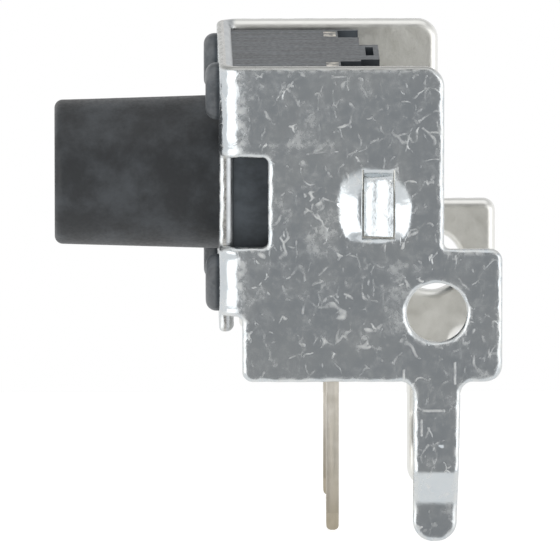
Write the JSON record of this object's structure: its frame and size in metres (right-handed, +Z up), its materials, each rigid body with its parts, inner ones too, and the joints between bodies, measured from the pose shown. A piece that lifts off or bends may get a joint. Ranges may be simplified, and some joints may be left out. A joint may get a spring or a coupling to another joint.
{
  "type": "tactile switch",
  "caption": "Side-operated tactile push-button switch in a folded sheet-metal bracket, with kinked snap-in legs and straight through-hole terminals.",
  "frame": {"origin": "on the surface of the circuit board, midway between the two terminals", "axes": "+Z up from the board, -Y out of the button, X across the switch"},
  "size_m": [0.008, 0.0108, 0.0116],
  "materials": {
    "tinned_steel": "bright tin plate on cold-rolled steel, finely scratched",
    "base_plastic": "moulded black glass-filled plastic, satin",
    "plunger_plastic": "moulded black plastic, fine matte texture",
    "dome_steel": "silver-clad stainless spring steel",
    "plated_brass": "silver-plated brass, slightly tarnished"
  },
  "bodies": {
    "switch_body": {"bracket": "tinned_steel", "base_housing": "base_plastic", "contact_dome": "dome_steel", "centre_terminal": "plated_brass", "rim_terminal": "plated_brass"},
    "button": {"plunger": "plunger_plastic"}
  },
  "joints": [
    {"name": "plunger_press", "type": "slide", "parent": "switch_body", "child": "button", "axis": [0, 1, 0], "range_m": [0, 0.00025], "stiffness_N_per_m": 4000, "deforming": ["contact_dome"]}
  ]
}
